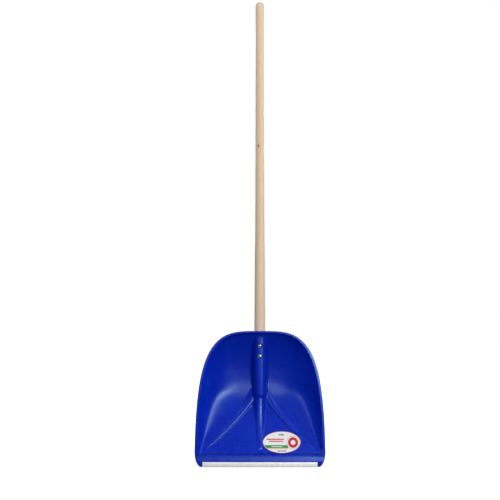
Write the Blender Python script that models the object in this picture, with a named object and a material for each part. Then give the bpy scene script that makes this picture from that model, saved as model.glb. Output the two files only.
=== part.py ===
"""A scoop shovel: a moulded plastic blade on a turned wooden handle, with an aluminium edge strip.

Metres, +Z up along the handle. The hollow side of the blade faces -Y. The origin is the middle of the
lower face of the edge strip.
"""

import math

import bmesh
import bpy
import numpy as np
from mathutils import Matrix, Vector
from mathutils.geometry import delaunay_2d_cdt

MM = 0.001
GAP = 0.3 * MM  # clearance between neighbouring pieces
REACH = 10 * MM  # how far a cutter runs past the wall that it cuts

# Blade outline, in front view
BLADE_HALF_WIDTH = 194.2 * MM
BLADE_TOP = 401 * MM
OUTLINE_BASE = -150 * MM
OUTLINE_CLIMB_POWER = 4.1
OUTLINE_WIDTH_POWER = 3.68
LIP_EDGE = 15.6 * MM  # lower edge of the plastic, above the edge strip
CORNER_TOP = 45 * MM
LUG_INNER = 169.3 * MM
LUG_OUTER = 172.5 * MM
LUG_TIP = 0.6 * MM

# Blade section
WALL = 3 * MM
THICKEST_SHIFT = 2.6  # a steep wall is measured along Y, up to this many times its thickness
LIP_FRONT = -1.5 * MM
LIP_LEAN = 0.14  # the lip leans back as it climbs
RIM_BACK = 18 * MM  # how far the rim leans back from the lip to its top
RIM_BEND = 1.5
FLANGE_SIDE = 7.5 * MM
FLANGE_TOP = 4 * MM
LIP_BAND_TOP = 31 * MM
CREASE_HEIGHT = 12 * MM
CREASE_DEPTH = 13 * MM
INNER_CORNER = 24 * MM
FLOOR_TILT = 0.40
BOWL_DEPTH = 78.3 * MM
BOWL_DEEPEST = 256 * MM
BOWL_BEND = 61.7 * MM
BOWL_FALL = 0.3
WALL_POWERS = (10, 4.2)  # how square the hollow is, low down and high up
WALL_POWER_SPAN = (110 * MM, 270 * MM)
FOLD_ROUNDING = (4 * MM, 54 * MM)  # in the middle, and at the sides high up
FOLD_SPAN = (70 * MM, 190 * MM)

# Socket for the handle, moulded as a ridge with a round nose
SOCKET_AXIS = 62 * MM
SOCKET_WALL = 3.5 * MM
RIDGE_FALL = 42 * MM
RIDGE_HALF_WIDTH = 27.7 * MM
RIDGE_NARROWING = 2 * MM
RIDGE_NARROWING_SPAN = (210 * MM, 300 * MM)
RIDGE_TOP = 385 * MM  # here its crest runs out into the back wall
RIDGE_POWER = 3.2
NOSE_START = 211 * MM
NOSE_LENGTH = 34 * MM
NOSE_POWER = 2.1
NOSE_ARC = 8 * MM  # how much sooner the nose falls off at its sides
NOSE_REACH = 20 * MM
TUBE_BOTTOM = 211 * MM
TUBE_TOP = 394 * MM
TUBE_WALL = 4.5 * MM
TUBE_SETBACK = 2 * MM
RIDGE_ROUNDING = 3 * MM
SOCKET_FILL = 2 * MM  # extra wall where the ridge lies over the socket
SOCKET_FILL_SPAN = (17 * MM, 24 * MM)
SOCKET_FILL_RISE = 8 * MM

# Centre rib and the two ribs of the V
CENTRE_RIB_BOTTOM = 51 * MM
CENTRE_RIB_CURVE = 1.13  # per metre
CENTRE_RIB_TIP = 1.6 * MM  # height of its rounded lower end
CENTRE_RIB_TIP_LENGTH = 7 * MM
CENTRE_RIB_HALF_WIDTHS = (8 * MM, 24 * MM)  # at its lower end and under the nose
CENTRE_RIB_POWERS = (2.6, 1.4)  # of its flat crest and of its flared foot
V_TIP = (159 * MM, 55 * MM)
V_ROOT = 208 * MM
V_SLOPE = 1.10
V_CURVE = 1.35  # per metre
V_HEIGHT = 5.8 * MM
V_HEIGHT_POWER = 0.6
V_INNER_WIDTH = 24 * MM
V_INNER_POWER = 0.4
V_OUTER_WIDTH = 8.5 * MM
V_ROOT_WIDENING = 6 * MM
V_RAMP = 0.4  # share of the inner width taken by its slope; the rest is the flat crest
CREST_ROUNDING = 0.5

# Handle: (height, radius) down its turned side
HANDLE_SIDE = (
    (1368 * MM, 13.1 * MM),
    (1310 * MM, 12.7 * MM),
    (1238 * MM, 12.5 * MM),
    (1056 * MM, 13.3 * MM),
    (853 * MM, 13.7 * MM),
    (680 * MM, 14.1 * MM),
    (611 * MM, 15.1 * MM),
    (480 * MM, 15.9 * MM),
    (402 * MM, 16.4 * MM),
    (217 * MM, 12.7 * MM),
)
HANDLE_TOP = 1382 * MM
HANDLE_SEGMENTS = 32

# Tapered end of the handle, in the socket
SOCKET_HEIGHTS = (HANDLE_SIDE[-1][0], HANDLE_SIDE[-2][0])
SOCKET_RADII = (HANDLE_SIDE[-1][1], HANDLE_SIDE[-2][1])

# Screws through the socket
SCREW_HEIGHTS = {"handle_screw_upper": 356 * MM, "handle_screw_lower": 325 * MM}
SCREW_HEAD_RADIUS = 4.8 * MM
SCREW_HEAD_HEIGHT = 2.8 * MM
SCREW_RADIUS = 2.1 * MM
SCREW_LENGTH = 24 * MM
SCREW_POINT = 4 * MM
SCREW_HEAD_EDGE = 1 * MM
SCREW_TIP_RADIUS = 0.4 * MM
SLOT_SIZE = (5 * MM, 1.1 * MM, 4 * MM)
SLOT_LIFT = 0.5 * MM
SLOT_TURN = 0.4
RECESS_RADIUS = 7.5 * MM
RECESS_DEPTH = 1.2 * MM
ROUND_SEGMENTS = 24

# Edge strip and its rivets
TONGUE_THICKNESS = 1.4 * MM
TONGUE_BOTTOM = 1.5 * MM
TONGUE_LAP = 3.3 * MM  # how far the tongue runs up inside the lip
STRIP_HALF_LENGTH = 169 * MM
STRIP_HALF_THICKNESS = 2.2 * MM
STRIP_SHEET = 1.2 * MM
STRIP_CORNER = 0.7 * MM
RIVET_PLACES = (-156 * MM, -52 * MM, 52 * MM, 156 * MM)
RIVET_HEIGHT = 8.4 * MM
RIVET_RADIUS = 2 * MM
RIVET_FLUSH_RADIUS = 3 * MM
RIVET_FLUSH_EDGE = 0.2 * MM
RIVET_HEAD_RADIUS = 4 * MM
RIVET_HEAD_HEIGHT = 1.8 * MM

# Label
LABEL_CENTRE = (64.6 * MM, 71.2 * MM)
LABEL_HALF_SIZE = (56.8 * MM, 31.4 * MM)
LABEL_THICKNESS = 0.4 * MM
LABEL_POINTS = 48

# Spacing of the blade's triangles
OUTLINE_STEP = 9 * MM
FEATURE_STEP = 9 * MM
FLOOR_STEP = 14 * MM
CLEAR_OF_LINES = 0.45  # of FLOOR_STEP
RING_DEPTHS = (0, 4 * MM, 10 * MM, 18 * MM)  # lines that follow the rim, inside the flange
SLOPE_PROBE = 0.4 * MM

BLUE = (0.006, 0.022, 0.46, 1)
WOOD = (0.82, 0.62, 0.43, 1)
STEEL = (0.72, 0.73, 0.75, 1)
ALUMINIUM = (0.78, 0.80, 0.83, 1)
PAPER = (0.9, 0.9, 0.9, 1)


# ---------------------------------------------------------------- the blade's front face


def soft_step(low, high, value):
    share = np.clip((value - low) / (high - low), 0, 1)
    return share * share * (3 - 2 * share)


def soft_min(a, b, rounding):
    """The smaller of two values, with the fold where they meet rounded over."""
    share = np.clip(0.5 + 0.5 * (b - a) / rounding, 0, 1)
    return b + (a - b) * share - rounding * share * (1 - share)


def half_width(z, side_inset=0.0, top_inset=0.0):
    """Half the width of the blade at height z, or of its outline moved inwards."""
    climb = (z - OUTLINE_BASE) / (BLADE_TOP - top_inset - OUTLINE_BASE)
    climb = np.clip(climb, 0, 1) ** OUTLINE_CLIMB_POWER
    return (BLADE_HALF_WIDTH - side_inset) * (1 - climb) ** (1 / OUTLINE_WIDTH_POWER)


def inner_half_width(z):
    """Half the width inside the flange, with the two rounded lower corners."""
    rise = np.clip((z - LIP_BAND_TOP) / INNER_CORNER, 0, 1)
    corner = INNER_CORNER * (1 - np.sqrt(rise * (2 - rise)))
    return np.maximum(half_width(z, FLANGE_SIDE, FLANGE_TOP) - corner, 1e-6)


def rim_depth(z):
    """Y of the lip and of the rim flange at height z: both lean back as they climb."""
    lip = LIP_FRONT + LIP_LEAN * (np.clip(z, LIP_EDGE, LIP_BAND_TOP) - LIP_EDGE)
    climb = np.clip((z - LIP_BAND_TOP) / (BLADE_TOP - LIP_BAND_TOP), 0, 1)
    return lip + RIM_BACK * climb**RIM_BEND


def floor_depth(z):
    """Y of the flat floor, which leans back from the crease above the lip."""
    foot = LIP_BAND_TOP + CREASE_HEIGHT
    return LIP_FRONT + CREASE_DEPTH + FLOOR_TILT * (z - foot)


def bowl_depth(x, z):
    """Y of the hollow back wall and side walls."""
    climb = np.clip((z - BOWL_DEEPEST) / (BLADE_TOP - FLANGE_TOP - BOWL_DEEPEST), 0, 1)
    top = float(rim_depth(BLADE_TOP))
    upper = top + (BOWL_DEPTH - top) * np.sqrt(1 - climb**2)
    below = np.clip(BOWL_DEEPEST - z, 0, 1) / BOWL_BEND
    lower = BOWL_DEPTH - BOWL_FALL * BOWL_BEND * (np.sqrt(1 + below**2) - 1)
    middle = np.where(z > BOWL_DEEPEST, upper, lower)
    low, high = WALL_POWERS
    power = low + (high - low) * soft_step(*WALL_POWER_SPAN, z)
    across = np.clip(x / inner_half_width(z), 0, 1)
    return middle + (rim_depth(z) - middle) * across**power


def ridge_depth(x, z):
    """Y of the ridge that holds the handle, and of its nose."""
    taper = np.interp(z, SOCKET_HEIGHTS, SOCKET_RADII)
    crest = SOCKET_AXIS - taper - GAP - SOCKET_WALL
    half = RIDGE_HALF_WIDTH - RIDGE_NARROWING * (1 - soft_step(*RIDGE_NARROWING_SPAN, z))
    arc = NOSE_ARC * np.clip(x / half, 0, 1) ** 2
    below = np.clip((NOSE_START + arc - z) / NOSE_LENGTH, 0, 2)
    return crest + RIDGE_FALL * ((x / half) ** RIDGE_POWER + below**NOSE_POWER)


def centre_rib_depth(x, z, base):
    up = z - CENTRE_RIB_BOTTOM
    crest = floor_depth(CENTRE_RIB_BOTTOM) + up * (FLOOR_TILT - CENTRE_RIB_CURVE * up)
    half = np.interp(z, (CENTRE_RIB_BOTTOM, NOSE_START), CENTRE_RIB_HALF_WIDTHS)
    tip = CENTRE_RIB_TIP * np.sqrt(np.clip(up / CENTRE_RIB_TIP_LENGTH, 0, 1))
    along = (z > CENTRE_RIB_BOTTOM) & (z < NOSE_START)
    height = (np.clip(base - crest, 0, 1) + tip) * along
    crown, foot = CENTRE_RIB_POWERS
    return base - height * (1 - np.clip(x / half, 0, 1) ** crown) ** foot


def v_crest(z):
    """Distance of a V rib's crest from the middle at height z."""
    up = z - V_TIP[1]
    return V_TIP[0] - up * (V_SLOPE - V_CURVE * up)


def v_widths(z):
    """Widths of a V rib's inner and outer slopes at height z, measured along X."""
    share = np.clip((z - V_TIP[1]) / (V_ROOT - V_TIP[1]), 0, 1)
    swell = 1 - (1 - share) ** 2
    return V_INNER_WIDTH * share**V_INNER_POWER, V_OUTER_WIDTH * swell + V_ROOT_WIDENING * share**6


def v_rib_depth(x, z, base):
    inner, outer = v_widths(z)
    crest = v_crest(z)
    rise = (x - crest + inner) / np.maximum(V_RAMP * inner, 1e-6)
    fall = (crest + outer - x) / np.maximum(outer, 1e-6)
    shape = soft_min(soft_min(rise, fall, CREST_ROUNDING), 1, CREST_ROUNDING)
    shape = np.clip(shape, 0, 1)
    share = np.clip((z - V_TIP[1]) / (V_ROOT - V_TIP[1]), 0, 1)
    return base - V_HEIGHT * share**V_HEIGHT_POWER * shape


def front_depth(x, z):
    """Y of the blade's front face at x, z."""
    x = np.abs(np.asarray(x, float))
    z = np.asarray(z, float)
    rim = rim_depth(z)
    across = np.clip(x / BLADE_HALF_WIDTH, 0, 1)
    middle, side = FOLD_ROUNDING
    rounding = middle + (side - middle) * across**3 * soft_step(*FOLD_SPAN, z)
    pan = soft_min(floor_depth(z), bowl_depth(x, z), rounding)
    inside = (x < inner_half_width(z)) & (z > LIP_BAND_TOP) & (z < BLADE_TOP - FLANGE_TOP)
    crease = soft_step(LIP_BAND_TOP, LIP_BAND_TOP + CREASE_HEIGHT, z)
    pan = np.where(inside, rim + (pan - rim) * crease, rim)
    ribs = np.minimum(v_rib_depth(x, z, pan), centre_rib_depth(x, z, pan))
    ridge = soft_min(ribs, ridge_depth(x, z), RIDGE_ROUNDING)
    return np.where(inside, ridge, rim)


def wall_shift(x, z):
    """How far behind its front face the blade's back face lies, along Y."""
    across = front_depth(x + SLOPE_PROBE, z) - front_depth(x - SLOPE_PROBE, z)
    along = front_depth(x, z + SLOPE_PROBE) - front_depth(x, z - SLOPE_PROBE)
    slope = np.hypot(across, along) / (2 * SLOPE_PROBE)
    over_tube = soft_step(TUBE_BOTTOM - SOCKET_FILL_RISE, TUBE_BOTTOM, z)
    over_tube = over_tube * (1 - soft_step(*SOCKET_FILL_SPAN, np.abs(x)))
    thickness = WALL + SOCKET_FILL * over_tube
    return thickness * np.clip(np.sqrt(1 + slope**2), 1, THICKEST_SHIFT)


# ---------------------------------------------------------------- flat net of the blade


def evenly(points, step):
    """The same open line with points about one step apart."""
    points = np.asarray(points, float)
    lengths = np.hypot(*np.diff(points, axis=0).T)
    reached = np.concatenate(([0], np.cumsum(lengths)))
    count = max(1, round(reached[-1] / step))
    at = np.linspace(0, reached[-1], count + 1)
    return np.column_stack([np.interp(at, reached, axis) for axis in points.T])


def arch(side_inset, top_inset, bottom, count=400):
    """Right half of the outline, or of one moved inwards, from height bottom up to the middle."""
    top = BLADE_TOP - top_inset
    start = (bottom - OUTLINE_BASE) / (top - OUTLINE_BASE)
    first = math.asin(start ** (OUTLINE_CLIMB_POWER / 2))
    turn = np.linspace(first, math.pi / 2, count)
    z = OUTLINE_BASE + (top - OUTLINE_BASE) * np.sin(turn) ** (2 / OUTLINE_CLIMB_POWER)
    x = (BLADE_HALF_WIDTH - side_inset) * np.cos(turn) ** (2 / OUTLINE_WIDTH_POWER)
    return np.column_stack([x, z])


def outline():
    """The blade's outline as one closed ring, right half first."""
    turn = np.linspace(math.pi / 2, 0, 40)
    corner_width = half_width(CORNER_TOP) - LUG_OUTER
    corner = np.column_stack(
        [
            LUG_OUTER + corner_width * np.cos(turn),
            CORNER_TOP - (CORNER_TOP - LUG_TIP) * np.sin(turn),
        ]
    )
    lines = (
        evenly([(0, LIP_EDGE), (LUG_INNER, LIP_EDGE)], FLOOR_STEP),
        evenly([(LUG_INNER, LIP_EDGE), (LUG_INNER, LUG_TIP)], OUTLINE_STEP),
        evenly(corner, OUTLINE_STEP / 2),
        evenly(arch(0, 0, CORNER_TOP), OUTLINE_STEP),
    )
    right = np.vstack([line[:-1] for line in lines] + [[[0, BLADE_TOP]]])
    left = right[-2:0:-1] * (-1, 1)
    return np.vstack([right, left])


def inner_ring(depth_in):
    """A line inside the rim: depth_in is how far inside the flange it runs."""
    rows = np.linspace(LIP_BAND_TOP + depth_in, CORNER_TOP + INNER_CORNER, 30)
    corner = np.column_stack([inner_half_width(rows) - depth_in, rows])
    side = arch(FLANGE_SIDE + depth_in, FLANGE_TOP + 0.6 * depth_in, rows[-1])
    right = evenly(np.vstack([corner[:-1], side]), OUTLINE_STEP)
    return np.vstack([right, right[-2::-1] * (-1, 1)])


def mirrored(lines):
    return [line * (sign, 1) for line in lines for sign in (1, -1)]


def feature_lines():
    """Lines that the blade's edges and folds follow, so that the facets don't cut across them."""
    rings = [inner_ring(depth_in) for depth_in in RING_DEPTHS]
    level = []
    for z in (LIP_BAND_TOP, LIP_BAND_TOP + CREASE_HEIGHT / 2, LIP_BAND_TOP + CREASE_HEIGHT):
        reach = float(inner_half_width(z + RING_DEPTHS[1])) - RING_DEPTHS[-1]
        level.append(evenly([(-reach, z), (reach, z)], FLOOR_STEP))
    heights = np.linspace(V_TIP[1], V_ROOT, 20)
    inner, outer = v_widths(heights)
    crest = v_crest(heights)
    shifts = (-inner, (V_RAMP - 1) * inner, 0 * crest, outer)
    v_lines = [np.column_stack([crest + shift, heights]) for shift in shifts]
    v_lines = [line[line[:, 0] > CENTRE_RIB_HALF_WIDTHS[1]] for line in v_lines]
    uprights = []
    for share in (0.25, 0.5, 0.75, 0.92, 1.1):
        x = share * RIDGE_HALF_WIDTH
        uprights.append([(x, NOSE_START - NOSE_LENGTH), (x, RIDGE_TOP)])
    for share in (0.55, 0.85, 1.0):
        low, high = (share * half for half in CENTRE_RIB_HALF_WIDTHS)
        uprights.append([(low, CENTRE_RIB_BOTTOM), (high, NOSE_START - NOSE_LENGTH)])
    bends = [evenly(line, FEATURE_STEP) for line in v_lines + uprights]
    middle = evenly([(0, CENTRE_RIB_BOTTOM), (0, RIDGE_TOP)], FEATURE_STEP)
    nose = []
    for share in (0.02, 0.3, 0.6):
        x = np.linspace(-NOSE_REACH, NOSE_REACH, 9)
        nose.append(np.column_stack([x, np.full(9, NOSE_START - NOSE_LENGTH * share)]))
    return rings + level + mirrored(bends) + [middle] + nose


def label_ring():
    turn = np.linspace(0, 2 * math.pi, LABEL_POINTS, endpoint=False)
    x = LABEL_CENTRE[0] + LABEL_HALF_SIZE[0] * np.cos(turn)
    z = LABEL_CENTRE[1] + LABEL_HALF_SIZE[1] * np.sin(turn)
    return np.column_stack([x, z])


def flat_net():
    """Triangles of the blade in front view: points (x, z) and corner triples."""
    rim = outline()
    label = label_ring()
    points = [rim]
    edges = []
    count = len(rim)
    for line, is_closed in [(label, True)] + [(line, False) for line in feature_lines()]:
        steps = len(line) if is_closed else len(line) - 1
        edges += [(count + i, count + (i + 1) % len(line)) for i in range(steps)]
        points.append(line)
        count += len(line)
    known = np.vstack(points)
    fill = []
    rows = np.arange(LIP_EDGE + FLANGE_SIDE, BLADE_TOP - FLANGE_SIDE, 0.87 * FLOOR_STEP)
    for row, z in enumerate(rows):
        reach = float(half_width(z)) - FLANGE_SIDE
        shift = 0.5 * FLOOR_STEP * (row % 2)
        for x in np.arange(shift, reach, FLOOR_STEP):
            fill += [(x, z), (-x, z)] if x > 0 else [(x, z)]
    fill = [p for p in fill if np.hypot(*(known - p).T).min() > CLEAR_OF_LINES * FLOOR_STEP]
    points = [Vector(p) for p in np.vstack([known, fill])]
    ring = [list(range(len(rim)))]
    net = delaunay_2d_cdt(points, edges, ring, 1, 1e-6, False)
    net_points = np.array([tuple(p) for p in net[0]])
    centres = [net_points[list(face)].mean(axis=0) for face in net[2]]
    kept = [z > LIP_EDGE or abs(x) > LUG_INNER for x, z in centres]
    return net_points, [tuple(face) for face, keep in zip(net[2], kept) if keep]


# ---------------------------------------------------------------- mesh helpers


def material(name, color, metallic, roughness):
    made = bpy.data.materials.new(name)
    made.use_nodes = True
    shader = made.node_tree.nodes["Principled BSDF"]
    shader.inputs["Base Color"].default_value = color
    shader.inputs["Metallic"].default_value = metallic
    shader.inputs["Roughness"].default_value = roughness
    made.diffuse_color = color
    return made


def object_from(name, bm, made, smooth_angle=None):
    mesh = bpy.data.meshes.new(name)
    bmesh.ops.recalc_face_normals(bm, faces=bm.faces)
    bm.to_mesh(mesh)
    bm.free()
    if smooth_angle:
        mesh.shade_smooth()
        mesh.set_sharp_from_angle(angle=math.radians(smooth_angle))
    obj = bpy.data.objects.new(name, mesh)
    bpy.context.scene.collection.objects.link(obj)
    if made:
        mesh.materials.append(made)
    return obj


def sheet(points, faces, shift):
    """A closed sheet: a skin of points x, y, z and its copy moved back along Y by each shift."""
    bm = bmesh.new()
    verts = [bm.verts.new(point) for point in points]
    skin = [bm.faces.new([verts[i] for i in face]) for face in faces]
    loose = [vert for vert in verts if not vert.link_faces]
    moves = {tuple(vert.co): move for vert, move in zip(verts, shift)}
    bmesh.ops.delete(bm, geom=loose, context="VERTS")
    grown = bmesh.ops.extrude_face_region(bm, geom=skin, use_keep_orig=True)
    for vert in [item for item in grown["geom"] if isinstance(item, bmesh.types.BMVert)]:
        vert.co.y += moves[tuple(vert.co)]
    return bm


def turned(profile, segments):
    """A solid turned about Z from (radius, height) points, both ends on the axis."""
    bm = bmesh.new()
    rings = []
    for radius, height in profile[1:-1]:
        turn = [2 * math.pi * (i + 0.5) / segments for i in range(segments)]
        ring = [(radius * math.cos(a), radius * math.sin(a), height) for a in turn]
        rings.append([bm.verts.new(co) for co in ring])
    ends = [bm.verts.new((0, 0, profile[0][1])), bm.verts.new((0, 0, profile[-1][1]))]
    for i in range(segments):
        j = (i + 1) % segments
        bm.faces.new((ends[0], rings[0][i], rings[0][j]))
        bm.faces.new((ends[1], rings[-1][j], rings[-1][i]))
        for upper, lower in zip(rings, rings[1:]):
            bm.faces.new((upper[i], lower[i], lower[j], upper[j]))
    return bm


def facing_front(x, y, z):
    """Turns a solid's +Z axis to -Y and puts its origin at the point."""
    return Matrix.Translation((x, y, z)) @ Matrix.Rotation(math.pi / 2, 4, "X")


def cutter(name, bm, matrix=None):
    obj = object_from(name, bm, None)
    obj.matrix_world = matrix or Matrix()
    obj.hide_render = True
    obj.display_type = "WIRE"
    return obj


def boolean(obj, other, operation):
    step = obj.modifiers.new(other.name, "BOOLEAN")
    step.operation = operation
    step.solver = "EXACT"
    step.object = other


def peg(name, radius, front, back, place):
    """A plain round cutter along Y through place (x, z), from y = front to y = back."""
    profile = [(0, 0), (radius, 0), (radius, front - back), (0, front - back)]
    return cutter(name, turned(profile, ROUND_SEGMENTS), facing_front(place[0], front, place[1]))


# ---------------------------------------------------------------- pieces


def handle_profile(extra, bottom, top):
    """The handle's turned side between two heights, made wider by extra."""
    heights = [height for height, _ in HANDLE_SIDE[::-1]]
    radii = [radius for _, radius in HANDLE_SIDE[::-1]]
    inside = [height for height in heights if bottom < height < top]
    return [(np.interp(z, heights, radii) + extra, z) for z in [bottom] + inside + [top]]


def wooden_handle():
    bottom = HANDLE_SIDE[-1][0]
    shoulder, shoulder_radius = HANDLE_SIDE[0]
    side = handle_profile(0, bottom, shoulder)
    dome = []
    for step in range(1, 5):
        turn = 0.5 * math.pi * step / 5
        height = shoulder + (HANDLE_TOP - shoulder) * math.sin(turn)
        dome.append((shoulder_radius * math.cos(turn), height))
    profile = [(0, bottom)] + side + dome + [(0, HANDLE_TOP)]
    made = material("handle_wood", WOOD, 0, 0.55)
    obj = object_from("wooden_handle", turned(profile, HANDLE_SEGMENTS), made, 40)
    obj.location.y = SOCKET_AXIS
    for name, height in SCREW_HEIGHTS.items():
        back = screw_seat(height) + SCREW_LENGTH + GAP
        hole = peg(name + "_pilot", SCREW_RADIUS + GAP, -REACH, back, (0, height))
        boolean(obj, hole, "DIFFERENCE")
    return obj


def screw_seat(height):
    """Y of the flat recess that a screw's head rests in."""
    return float(front_depth(0, height)) + RECESS_DEPTH


def handle_screw(name, height):
    """A pan-head screw: domed head with a cross recess, shank and point, along +Y from its seat."""
    head = []
    for step in range(5):
        turn = 0.5 * math.pi * step / 5
        lift = SCREW_HEAD_EDGE + (SCREW_HEAD_HEIGHT - SCREW_HEAD_EDGE) * math.sin(turn)
        head.append((SCREW_HEAD_RADIUS * math.cos(turn), lift))
    shank_end = SCREW_POINT - SCREW_LENGTH
    profile = [(0, -SCREW_LENGTH), (SCREW_TIP_RADIUS, -SCREW_LENGTH), (SCREW_RADIUS, shank_end)]
    profile += [(SCREW_RADIUS, 0), (SCREW_HEAD_RADIUS, 0)] + head + [(0, SCREW_HEAD_HEIGHT)]
    made = material(name + "_steel", STEEL, 1, 0.3)
    obj = object_from(name, turned(profile, ROUND_SEGMENTS), made, 40)
    obj.matrix_world = facing_front(0, screw_seat(height) - GAP, height)
    for turn in (0, math.pi / 2):
        slot = bmesh.new()
        bmesh.ops.create_cube(slot, size=1)
        bmesh.ops.scale(slot, vec=SLOT_SIZE, verts=slot.verts)
        spin = Matrix.Rotation(turn + SLOT_TURN, 4, "Z")
        lift = Matrix.Translation((0, 0, SCREW_HEAD_HEIGHT + SLOT_LIFT))
        blade = cutter(f"{name}_slot_{round(turn)}", slot, obj.matrix_world @ lift @ spin)
        boolean(obj, blade, "DIFFERENCE")
    return obj


def scoop_blade(net, faces):
    front = front_depth(*net.T)
    points = np.column_stack([net[:, 0], front, net[:, 1]])
    made = material("blade_plastic", BLUE, 0, 0.35)
    obj = object_from("scoop_blade", sheet(points, faces, wall_shift(*net.T)), made, 30)
    boolean(obj, lip_tongue(), "UNION")
    boolean(obj, socket_tube(), "UNION")
    boolean(obj, socket_bore(), "DIFFERENCE")
    return obj


def socket_tube():
    """The round back of the socket, behind the ridge."""
    side = handle_profile(GAP + TUBE_WALL, TUBE_BOTTOM, TUBE_TOP)
    tube = turned([(0, TUBE_BOTTOM)] + side + [(0, TUBE_TOP)], HANDLE_SEGMENTS)
    back = SOCKET_AXIS + TUBE_SETBACK
    return cutter("socket_tube", tube, Matrix.Translation((0, back, 0)))


def socket_bore():
    """The tapered bore for the handle, with the two stepped holes for its screws."""
    bottom = HANDLE_SIDE[-1][0] - GAP
    top = HANDLE_SIDE[-2][0] + REACH
    side = handle_profile(GAP, bottom, top)
    bore = turned([(0, bottom)] + side + [(0, top)], HANDLE_SEGMENTS)
    obj = cutter("socket_bore", bore, Matrix.Translation((0, SOCKET_AXIS, 0)))
    hole = SCREW_RADIUS + GAP
    for name, height in SCREW_HEIGHTS.items():
        seat = screw_seat(height)
        depth = seat - SOCKET_AXIS
        side = [(RECESS_RADIUS, REACH), (RECESS_RADIUS, 0), (hole, 0), (hole, depth)]
        stepped = turned([(0, REACH)] + side + [(0, depth)], ROUND_SEGMENTS)
        place = facing_front(0, seat, height)
        boolean(obj, cutter(name + "_seat", stepped, place), "UNION")
    return obj


def lip_tongue():
    """The thin tongue under the lip that the edge strip wraps, with its rivet holes."""
    bm = bmesh.new()
    bmesh.ops.create_cube(bm, size=1)
    tall = LIP_EDGE + TONGUE_LAP - TONGUE_BOTTOM
    size = (2 * (STRIP_HALF_LENGTH - STRIP_SHEET), TONGUE_THICKNESS, tall)
    bmesh.ops.scale(bm, vec=size, verts=bm.verts)
    obj = cutter("lip_tongue", bm, Matrix.Translation((0, 0, TONGUE_BOTTOM + tall / 2)))
    for number, x in enumerate(RIVET_PLACES, 1):
        place = (x, RIVET_HEIGHT)
        hole = peg(f"tongue_hole_{number}", RIVET_RADIUS + GAP, -REACH, REACH, place)
        boolean(obj, hole, "DIFFERENCE")
    return obj


def oval_label(net, faces):
    """The label: the blade's own facets inside the oval, lifted off the blade by a hair."""
    reach = (net - LABEL_CENTRE) / LABEL_HALF_SIZE
    inside = [face for face in faces if np.hypot(*np.mean(reach[list(face)], axis=0)) < 1]
    lift = front_depth(*net.T) - GAP - LABEL_THICKNESS
    points = np.column_stack([net[:, 0], lift, net[:, 1]])
    made = material("label_print", PAPER, 0, 0.4)
    thickness = np.full(len(points), LABEL_THICKNESS)
    return object_from("oval_label", sheet(points, inside, thickness), made, 30)


def edge_strip():
    """The folded strip: a U section run along X, its open side up over the tongue."""
    half, corner = STRIP_HALF_THICKNESS, STRIP_CORNER
    inner = half - STRIP_SHEET
    top = LIP_EDGE - GAP
    section = [(-half, top), (-half, corner), (-half + corner, 0), (half - corner, 0), (half, corner)]
    section += [(half, top), (inner, top), (inner, STRIP_SHEET), (-inner, STRIP_SHEET), (-inner, top)]
    bm = bmesh.new()
    ring = [bm.verts.new((-STRIP_HALF_LENGTH, y, z)) for y, z in section]
    face = bm.faces.new(ring)
    grown = bmesh.ops.extrude_face_region(bm, geom=[face], use_keep_orig=True)
    moved = [item for item in grown["geom"] if isinstance(item, bmesh.types.BMVert)]
    bmesh.ops.translate(bm, verts=moved, vec=(2 * STRIP_HALF_LENGTH, 0, 0))
    obj = object_from("edge_strip", bm, material("strip_aluminium", ALUMINIUM, 1, 0.35))
    for number, x in enumerate(RIVET_PLACES, 1):
        profile = [(0, REACH)] + rivet_side(GAP, REACH) + [(0, -REACH)]
        bm = turned(profile, ROUND_SEGMENTS)
        hole = cutter(f"strip_hole_{number}", bm, facing_front(x, 0, RIVET_HEIGHT))
        boolean(obj, hole, "DIFFERENCE")
    return obj


def rivet_side(extra, front):
    """Side of a rivet's flush end and shank as (radius, forward), ending at the back of the strip."""
    half = STRIP_HALF_THICKNESS
    flush = RIVET_FLUSH_RADIUS + extra
    shank = RIVET_RADIUS + extra
    back = -REACH if front > half else -half
    return [(flush, front), (flush, half - RIVET_FLUSH_EDGE), (shank, half - STRIP_SHEET), (shank, back)]


def strip_rivet(number, x):
    half = STRIP_HALF_THICKNESS
    head_front = -half - GAP
    side = rivet_side(0, half)[:-1] + [(RIVET_RADIUS, head_front), (RIVET_HEAD_RADIUS, head_front)]
    for step in range(1, 5):
        turn = 0.5 * math.pi * step / 5
        back = head_front - RIVET_HEAD_HEIGHT * (0.3 + 0.7 * math.sin(turn))
        side.append((RIVET_HEAD_RADIUS * math.cos(turn), back))
    profile = [(0, half)] + side + [(0, head_front - RIVET_HEAD_HEIGHT)]
    made = material(f"rivet_aluminium_{number}", ALUMINIUM, 1, 0.4)
    obj = object_from(f"strip_rivet_{number}", turned(profile, 20), made, 40)
    obj.matrix_world = facing_front(x, 0, RIVET_HEIGHT)
    return obj


def main():
    for obj in list(bpy.data.objects):
        bpy.data.objects.remove(obj)
    net, faces = flat_net()
    scoop_blade(net, faces)
    oval_label(net, faces)
    wooden_handle()
    for name, height in SCREW_HEIGHTS.items():
        handle_screw(name, height)
    edge_strip()
    for number, x in enumerate(RIVET_PLACES, 1):
        strip_rivet(number, x)


main()
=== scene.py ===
"""Looks of a scoop shovel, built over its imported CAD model.

Metres, +Z up along the handle, and the hollow side of the blade faces -Y. Every visible piece is a
finer mesh of its CAD node, in the same place, with its own procedural material.
"""

import math

import bmesh
import bpy
import numpy as np
from mathutils import Matrix, Vector
from mathutils.geometry import delaunay_2d_cdt
from mathutils.kdtree import KDTree


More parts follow.
